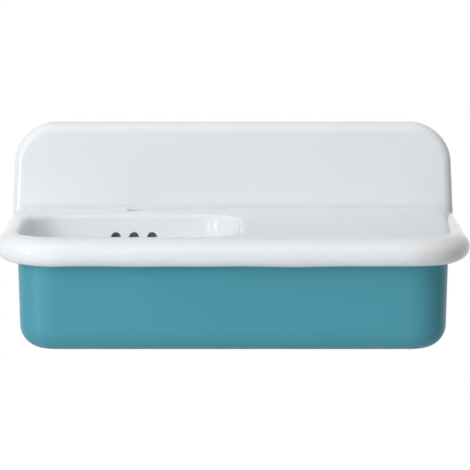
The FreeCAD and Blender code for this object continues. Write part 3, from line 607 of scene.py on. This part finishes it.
# floor with its outlet, and deck with its tap hole
floorLoop = bowlPoints[-1][:, :2]
floorZ = -bowl["deep"]
recessZ = floorZ - holes["recessDeep"]
recessEdge = holes["recessEdge"]
recessTop = holes["recess"] + recessEdge
largeSteps = holes["largeSteps"]
bowlFloor = flatPatch(atHeight(floorZ), floorLoop, circle(holes["middle"], holes["outletY"], recessTop, largeSteps))
recessRows = np.concatenate([arcRows(recessTop, floorZ - recessEdge, recessEdge, 90, 180, holes["recessSteps"]),
                             [[holes["recess"], recessZ], [holes["outlet"], recessZ]]])
outlet = turnedPatch(recessRows, holes["middle"], holes["outletY"], largeSteps)
tapTop = holes["tapRadius"] + holes["tapEdge"]
tapRows = np.concatenate([arcRows(tapTop, -holes["tapEdge"], holes["tapEdge"], 90, 180, holes["tapSteps"]),
                          [[holes["tapRadius"], -holes["deck"]]]])
tapHole = turnedPatch(tapRows, holes["middle"], holes["tapY"], largeSteps)
deckBack = np.stack([straightX[2:-2], np.full(len(straightX) - 4, footY[edgeCount + 2])], -1)
deckLoop = np.concatenate([rollPoints[-1][:, :2], deckBack[::-1]])
deck = flatPatch(atHeight(0.0), deckLoop, bowlPlan[0], circle(holes["middle"], holes["tapY"], tapTop, largeSteps))

underX = rim["half"] - rim["flat"]
rearUnder = np.array([[[x, y, -rim["height"]] for x in (-underX, underX)] for y in (0.0, -back["thick"])])
whiteTop = putPiece("whiteTop", [
    gridPatch(rollPoints), gridPatch(leftEnd), gridPatch(rightEnd), gridPatch(covePoints), gridPatch(backPoints),
    gridPatch(rearUnder), (frontFace, [list(range(len(frontFace)))]), (rearFace, [list(range(len(rearFace)))]),
    deck, gridPatch(bowlPoints[:lipEnd], closed=True), gridPatch(bowlPoints[lipEnd - 1:wallEnd, :wallColumns]),
    backWall, *tunnels, gridPatch(bowlPoints[wallEnd - 1:], closed=True), bowlFloor, outlet, tapHole,
], "white_glaze", (2, 1), ("basin_top",))

# where the solid's hollow begins, and how near a drawn face one of the solid's counts as drawn
hollowLook = {"side": 0.5, "behind": -27.9, "below": -13.9, "upward": 200, "bowlBack": 8, "flatNear": 1.2,
              "flatTilt": -0.9, "bossTop": 0.05, "bossNear": 0.5, "recessNear": 1.5, "overflowNear": 0.3}


def underTop(middles, normals):
    # faces under the deck that don't look into the bowl and aren't drawn already
    x, y, z = middles.T
    bowlAxis = np.array([holes["middle"], (bowl["front"] + bowl["back"]) / 2, 0.0])
    towards = ((bowlAxis - middles)[:, :2] * normals[:, :2]).sum(1)
    intoBowl = towards + np.maximum(normals[:, 2], 0) * hollowLook["upward"] > 0
    inBowl = (x > bowl["left"]) & (x < bowl["right"])
    inBowl &= (y > bowl["front"]) & (y < bowl["back"] + hollowLook["bowlBack"])
    hollow = (np.abs(x) < underX + hollowLook["side"]) & (y < hollowLook["behind"])
    hollow &= (y > rim["flat"] - rim["depth"] - hollowLook["side"]) & (z < hollowLook["below"])
    flatUnder = (np.abs(z + rim["height"]) < hollowLook["flatNear"]) & (normals[:, 2] < hollowLook["flatTilt"])
    fromOutlet = np.hypot(x - holes["middle"], y - holes["outletY"])
    boss = (z < recessZ - hollowLook["bossTop"]) & (fromOutlet < holes["bossRadius"] + hollowLook["bossNear"])
    drawn = flatUnder | ((fromOutlet < holes["recess"] + hollowLook["recessNear"]) & ~boss)
    drawn |= np.any([np.hypot(x - spot, z - holes["overflowZ"]) < holes["overflow"] + hollowLook["overflowNear"]
                     for spot in spots], 0)
    return hollow & ~drawn & (boss | ~(inBowl & intoBowl))


hiddenSkin("topUnderside", "basin_top", "white_glaze", underTop)
print("white casting drawn:", len(whiteTop.data.vertices), "points")

# teal casting: a leaning wall, a big rounding and a turned-in foot carried round the trough line
skirt = {"half": 385.0, "depth": 440.0, "corner": 72.0, "top": -49.0, "under": -207.0, "lean": 1.3, "footRound": 42.0,
         "wall": 6.0, "footX": 307.0, "footFront": -362.0, "footBack": -43.0, "footCorner": 40.0, "footEdge": 2.4,
         "boltX": 140.0, "boltZ": -100.0, "boltHole": 8.05, "aimX": 250, "aimY": -220.0, "aimZ": -120.0, "slack": 0.1,
         "roundSteps": 24, "edgeSteps": 7, "holeSteps": 32}
skirtTan = math.tan(math.radians(skirt["lean"]))
roundZ = skirt["under"] + skirt["footRound"]
roundIn = (skirt["top"] - roundZ) * skirtTan + skirt["footRound"] / math.cos(math.radians(skirt["lean"]))
roundArc = arcRows(roundIn, roundZ, skirt["footRound"], 180 + skirt["lean"], 270, skirt["roundSteps"])
skirtRows = np.concatenate([[[skirt["wall"], skirt["top"]], [0.0, skirt["top"]]], roundArc])
skirtPlan = trough(skirt["half"], skirt["depth"], skirt["corner"], skirtRows[:, 0], 0.0)
skirtPoints = lifted(skirtPlan, skirtRows[:, 1])
footArc = arcRows(-skirt["footEdge"], skirt["under"] + skirt["footEdge"], skirt["footEdge"], 270, 360,
                  skirt["edgeSteps"])
footRows = np.concatenate([footArc, [[0.0, skirt["under"] + skirt["wall"]]]])
footPlan, _ = roundedLoops(-skirt["footX"], skirt["footX"], skirt["footFront"], skirt["footBack"],
                           skirt["footCorner"], footRows[:, 0])
footPoints = lifted(footPlan, footRows[:, 1])
foot = flatPatch(atHeight(skirt["under"]), skirtPoints[-1][:, :2], footPlan[0])
rearLoop = np.concatenate([skirtPoints[1:, 0], skirtPoints[1:, -1][::-1]])[:, [0, 2]]
rear = flatPatch(lambda flat: np.stack([flat[:, 0], 0 * flat[:, 0], flat[:, 1]], -1), rearLoop,
                 *[circle(side * skirt["boltX"], skirt["boltZ"], skirt["boltHole"], skirt["holeSteps"])
                   for side in (-1, 1)])
tealApron = putPiece("tealApron", [gridPatch(skirtPoints), gridPatch(footPoints, closed=True), foot, rear],
                     "teal_glaze", (2, -1), ("apron",))


def insideApron(middles, normals):
    # faces that look towards the middle of the trough, without the foot's edge
    aim = np.stack([np.clip(middles[:, 0], -skirt["aimX"], skirt["aimX"]), np.full(len(middles), skirt["aimY"]),
                    np.full(len(middles), skirt["aimZ"])], -1)
    aboveFoot = middles[:, 2] > skirt["under"] + skirt["wall"] - skirt["slack"]
    return (((aim - middles) * normals).sum(1) > 0) & aboveFoot


hiddenSkin("apronInside", "apron", "bare_ceramic", insideApron)
print("teal casting drawn:", len(tealApron.data.vertices), "points")


# short walls that close the overflow's duct beside the outlet boss
ductFront = {"near": 33.5, "far": 46.0, "low": -158.0, "high": -135.5, "thick": 6.0}


def closedBar(loop, start, end):
    # a loop of (x, z) points run along y, with both ends drawn in to its middle
    share = np.array([0.0, 1.0, 1.0, 0.0])[:, None, None]
    flat = loop.mean(0) + share * (loop - loop.mean(0))
    level = np.broadcast_to(np.array([start, start, end, end])[:, None], flat.shape[:2])
    return np.stack([flat[..., 0], level, flat[..., 1]], -1)


ductCorners = (("near", "low"), ("far", "low"), ("far", "high"), ("near", "high"))
ductLoop = np.array([[ductFront[x], ductFront[z]] for x, z in ductCorners])
ductEnd = holes["outletY"] + ductFront["thick"]
ductBars = [closedBar(ductLoop * (side, 1) + (holes["middle"], 0), holes["outletY"], ductEnd) for side in (-1, 1)]
putPiece("ductFronts", [gridPatch(bar, closed=True) for bar in ductBars], "bare_ceramic", (1, -1))


# screwed and turned fittings
def ridge(level, turn, pitch):
    # 0 at a thread's crest and 1 at its root: the distance from the helix level = pitch times turns, both ways
    return 1 - np.abs(2 * ((np.reshape(level, (-1, 1)) / pitch - turn / (2 * np.pi)) % 1) - 1)


tail = {"radius": 20.95, "pitch": 2.309, "cut": 1.1, "low": -222.0, "high": -190.0, "runOut": 3.0, "rows": 112,
        "turnSteps": 64, "sideNear": 0.4, "endNear": 0.05}
tailLevel = np.linspace(tail["low"], tail["high"], tail["rows"])
tailTurn = around(tail["turnSteps"])
runOut = np.clip(np.minimum(tailLevel - tail["low"], tail["high"] - tailLevel) / tail["runOut"], 0, 1)[:, None]
tailRadius = tail["radius"] - tail["cut"] * runOut * ridge(tailLevel, tailTurn, tail["pitch"])
tailPoints = spun(tailRadius, tailLevel, tailTurn) + (holes["middle"], holes["outletY"], 0)


def besideThread(middles, normals):
    # all of the waste but the plain cylinder that the thread stands for
    x, y, z = middles.T
    fromSide = np.abs(np.hypot(x - holes["middle"], y - holes["outletY"]) - tail["radius"])
    between = (z > tail["low"] + tail["endNear"]) & (z < tail["high"] - tail["endNear"])
    return ~((fromSide < tail["sideNear"]) & between)


wasteSkin = hiddenSkin("wasteSkin", "waste_body", "chrome", besideThread, ("waste_body",))
tailThread = putPiece("tailThread", [gridPatch(tailPoints, closed=True)], "chrome", (0, 1))


def hexNut(look, steps=96):
    # outline: half the flats over the cosine of the angle to the nearest flat's middle; a cone cuts both ends, so the
    # chamfer's edge rises by (outline - face radius) times the cone's slope
    turn = around(steps)
    outline = look["flats"] / 2 / np.cos((turn + np.pi / 6) % (np.pi / 3) - np.pi / 6)
    face = np.full(steps, look["flats"] / 2 * look["face"])
    bore, low = np.full(steps, look["bore"]), np.zeros(steps)
    rise, high = (outline - face) * math.tan(math.radians(look["chamfer"])), low + look["thick"]
    return spun(np.stack([bore, face, outline, outline, face, bore, bore]),
                np.stack([low, low, rise, high - rise, high, high, low]), turn)


tailNut = {"flats": 58.0, "bore": 21.0, "thick": 10.0, "low": -185.5, "face": 0.96, "chamfer": 30}
tailHexPoints = hexNut(tailNut) + (holes["middle"], holes["outletY"], tailNut["low"])
tailHex = putPiece("tailHex", [gridPatch(tailHexPoints, closed=True)], "brass", (2, -1), ("waste_backnut",),
                   sharp=24.0)

boltNut = {"flats": 17.0, "bore": 5.05, "thick": 8.0, "from": -22.0, "face": 0.96, "chamfer": 30}
boltSides = [-skirt["boltX"], skirt["boltX"]]
lying = [0, 2, 1]                             # an upright form laid along the y axis
boltHexForm = hexNut(boltNut, steps=72)[..., lying]
boltHexes = putPiece("boltHexes", [gridPatch(boltHexForm + (x, boltNut["from"], skirt["boltZ"]), closed=True)
                                   for x in boltSides], "zinc_steel", (2, 1), ("bolt_nuts",), sharp=24.0)

# hanger bolts: a fine thread for the nut, a plain shank at the wall, and a coarse sharp thread with a point
screw = {"from": -49.0, "shankFrom": -4.0, "shankTo": 4.0, "tip": 70.0, "fine": 5.0, "finePitch": 1.5, "fineCut": 0.9,
         "fineRows": 6, "shank": 4.3, "coarse": 4.7, "coarsePitch": 4.2, "coarseCut": 1.3, "coarseRows": 10,
         "flank": 2.1, "fadeIn": 4, "point": 9.0, "pointRadius": 1.5, "turnSteps": 20}
boltTurn = around(screw["turnSteps"])
fineLevel = np.arange(screw["from"], screw["shankFrom"], screw["finePitch"] / screw["fineRows"])
coarseLevel = np.arange(screw["shankTo"], screw["tip"], screw["coarsePitch"] / screw["coarseRows"])
fineRadius = screw["fine"] - screw["fineCut"] * ridge(-fineLevel, boltTurn, screw["finePitch"])
fineRadius = np.minimum(fineRadius, screw["fine"] - screw["fineCut"] + (fineLevel - screw["from"])[:, None])
sharpness = np.clip(screw["flank"] * ridge(-coarseLevel, boltTurn, screw["coarsePitch"]), 0, 1)
sharpness = 1 - (1 - sharpness) * np.clip((coarseLevel - screw["shankTo"]) / screw["fadeIn"], 0, 1)[:, None]
taper = np.clip((screw["tip"] - coarseLevel) / screw["point"], 0, 1)[:, None]
coarseRadius = screw["pointRadius"] * (1 - taper) + (screw["coarse"] - screw["coarseCut"] * sharpness) * taper
plain = np.full((1, screw["turnSteps"]), 1.0)
boltRadius = np.concatenate([0 * plain, fineRadius, screw["shank"] * plain, screw["shank"] * plain, coarseRadius,
                             screw["pointRadius"] * plain, 0 * plain])
boltLevel = np.concatenate([[screw["from"]], fineLevel, [screw["shankFrom"], screw["shankTo"]], coarseLevel,
                            [screw["tip"], screw["tip"]]])
boltForm = spun(boltRadius, boltLevel, boltTurn)[..., lying]
hangerScrews = putPiece("hangerScrews", [gridPatch(boltForm + (x, 0, skirt["boltZ"]), closed=True)
                                         for x in boltSides], "zinc_steel", (2, 1), ("hanger_bolts",), sharp=60.0)

# push plug: a low dome, an upright edge with a small rounding, and a stud for the pin
plug = {"half": 30.5, "top": -111.9, "rise": 2.5, "edge": 0.9, "bevel": 0.4, "under": -117.4, "stud": 7.5,
        "studEnd": -123.4, "pin": 4.05, "pinEnd": -115.9, "turnSteps": 72, "domeSteps": 14, "domePower": 4,
        "edgeFrom": 75, "edgeSteps": 6}
domeEdge = plug["half"] - plug["edge"]
domeShare = np.linspace(0, 1, plug["domeSteps"])
domeRows = np.stack([domeShare * domeEdge, plug["top"] - plug["rise"] * domeShare ** plug["domePower"]], -1)
edgeMiddle = domeRows[-1, 1] - plug["edge"]
capRows = np.concatenate([
    domeRows, arcRows(domeEdge, edgeMiddle, plug["edge"], plug["edgeFrom"], 0, plug["edgeSteps"]),
    [[plug["half"], plug["under"] + plug["bevel"]], [plug["half"] - plug["bevel"], plug["under"]],
     [plug["stud"], plug["under"]], [plug["stud"], plug["studEnd"]], [plug["pin"], plug["studEnd"]],
     [plug["pin"], plug["pinEnd"]], [0.0, plug["pinEnd"]]]])
pushCap = putPiece("pushCap", [turnedPatch(capRows, holes["middle"], holes["outletY"], plug["turnSteps"])],
                   "chrome", (2, 1), ("plug_cap",), body="plug")

# coil spring under the pin: a round wire along a helix at one length; the real spring flattens as the plug goes down
coil = {"low": -163.0, "tall": 17.2, "wire": 0.5, "radius": 5.2, "turns": 4.0, "travel": 9.0, "rows": 161,
        "wireSteps": 10}
coilShare = np.linspace(0, 1, coil["rows"])[:, None]
coilTurn = 2 * np.pi * coil["turns"] * coilShare
wireTurn = around(coil["wireSteps"])
wireThick = coil["wire"] * np.concatenate([[0.0], np.ones(coil["rows"] - 2), [0.0]])[:, None]
wireRadius = coil["radius"] + wireThick * np.cos(wireTurn)
wireLevel = coil["wire"] + (coil["tall"] - 2 * coil["wire"]) * coilShare + wireThick * np.sin(wireTurn)
coilPoints = np.stack([wireRadius * np.cos(coilTurn), wireRadius * np.sin(coilTurn), wireLevel], -1)
coilFoot = (holes["middle"], holes["outletY"], coil["low"])
coilSpring = putPiece("coilSpring", [gridPatch(coilPoints + coilFoot, closed=True)], "spring_steel", (2, 1),
                      ("click_spring",))
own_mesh(coilSpring)
fittings = (wasteSkin, tailThread, tailHex, boltHexes, hangerScrews, pushCap, coilSpring)
print("fittings drawn:", ", ".join(piece.name for piece in fittings))


# floor, world and lights
def seenDirectly(tree):
    # 1 for what the camera sees, straight, mirrored or through glass, and 0 for light that falls on things
    path = addNode(tree, "ShaderNodeLightPath")
    seen = mathNode(tree, "MAXIMUM", (path, "Is Camera Ray"), (path, "Is Glossy Ray"))
    return mathNode(tree, "MAXIMUM", seen, (path, "Is Transmission Ray"))


stageLook = {"floorZ": -0.85, "halfWide": 60.0, "pale": (0.90, 0.90, 0.90), "farFrom": 0.9, "farTo": 1.4}
floorPoints = np.array([[-1, -1, 0], [1, -1, 0], [1, 1, 0], [-1, 1, 0]]) * stageLook["halfWide"]
floorPoints += (0, 0, stageLook["floorZ"])
floorMesh = bpy.data.meshes.new("paleFloor")
floorMesh.from_pydata(floorPoints.tolist(), [], [[0, 1, 2, 3]])
floor = bpy.data.objects.new("paleFloor", floorMesh)
scene.collection.objects.link(floor)

# pale near the object, white far behind it, and nothing from below
floorPaint = bpy.data.materials.new("paleFloor")
floorPaint.use_nodes = True
tree = floorPaint.node_tree
tree.nodes.clear()
pale = addNode(tree, "ShaderNodeBsdfDiffuse", {"Color": (*stageLook["pale"], 1)})
white = addNode(tree, "ShaderNodeEmission")
clear = addNode(tree, "ShaderNodeBsdfTransparent")
floorSpot = addNode(tree, "ShaderNodeTexCoord")
split = addNode(tree, "ShaderNodeSeparateXYZ", {"Vector": (floorSpot, "Object")})
far = addNode(tree, "ShaderNodeMapRange", {
    "Value": (split, "Y"), "From Min": stageLook["farFrom"], "From Max": stageLook["farTo"]})
whiteShare = mathNode(tree, "MULTIPLY", seenDirectly(tree), (far, "Result"))
nearFar = addNode(tree, "ShaderNodeMixShader", {"Fac": whiteShare, 1: (pale, 0), 2: (white, 0)})
floorSide = addNode(tree, "ShaderNodeNewGeometry")
fromBelow = addNode(tree, "ShaderNodeMixShader", {"Fac": (floorSide, "Backfacing"), 1: (nearFar, 0), 2: (clear, 0)})
addNode(tree, "ShaderNodeOutputMaterial", {"Surface": (fromBelow, 0)})
floorMesh.materials.append(floorPaint)

# a white surround to look at, and a soft one to give light
worldLook = {"soft": 0.13, "white": (1, 1, 1, 1)}
world = bpy.data.worlds.new("studio")
scene.world = world
world.use_nodes = True
tree = world.node_tree
tree.nodes.clear()
soft = addNode(tree, "ShaderNodeBackground", {"Color": worldLook["white"], "Strength": worldLook["soft"]})
white = addNode(tree, "ShaderNodeBackground", {"Color": worldLook["white"]})
pick = addNode(tree, "ShaderNodeMixShader", {"Fac": seenDirectly(tree), 1: (soft, 0), 2: (white, 0)})
addNode(tree, "ShaderNodeOutputWorld", {"Surface": (pick, 0)})

# a lamp gives either light and shade or a highlight in the glaze
lampAim = (0.0, -0.25, 0.0)
lamps = {
    "stripFrontLeft": {"at": (-3.53, -5.1, 0.0), "size": (1.2, 9.0), "power": 259.0, "gives": "shade"},
    "softFrontLeft": {"at": (-3.2, -4.65, 2.54), "size": (1.2, 4.0), "power": 102.0, "gives": "shade"},
    "panelTop": {"at": (0.0, -1.0, 5.0), "size": (8.0, 6.0), "power": 161.0, "gives": "shade"},
    "windowLeft": {"at": (-4.37, -2.67, -0.13), "size": (0.7, 0.6), "power": 63.8, "gives": "gloss"},
    "windowFront": {"at": (-3.44, -3.64, 1.29), "size": (0.7, 0.14), "power": 16.5, "gives": "gloss"},
    "paneFront": {"at": (-1.72, -4.73, 1.39), "size": (0.4, 0.12), "power": 7.1, "gives": "gloss"},
}
for name, look in lamps.items():
    light = bpy.data.lights.new(name, "AREA")
    light.shape = "RECTANGLE"
    light.size, light.size_y = look["size"]
    light.energy = look["power"]
    lamp = bpy.data.objects.new(name, light)
    lamp.location = look["at"]
    lamp.visible_glossy = look["gives"] == "gloss"
    lamp.visible_diffuse = look["gives"] == "shade"
    lamp.rotation_euler = (Vector(lampAim) - Vector(look["at"])).to_track_quat("-Z", "Y").to_euler()
    scene.collection.objects.link(lamp)
print("stage and lamps set:", ", ".join(lamps))

# camera at the photograph's angle: a long lens a little above the rim
view = {"at": (0.0, -5.172, 0.6605), "down": 7.89, "lens": 207.7, "sensor": 36.0, "shiftX": 2 / 470, "farEnd": 200.0}
cameraData = bpy.data.cameras.new("viewer")
cameraData.lens = view["lens"]
cameraData.sensor_width = view["sensor"]
cameraData.sensor_fit = "HORIZONTAL"
cameraData.shift_x = view["shiftX"]
cameraData.clip_end = view["farEnd"]
camera = bpy.data.objects.new("viewer", cameraData)
camera.location = view["at"]
camera.rotation_euler = (math.radians(90 - view["down"]), 0, 0)
scene.collection.objects.link(camera)
scene.camera = camera
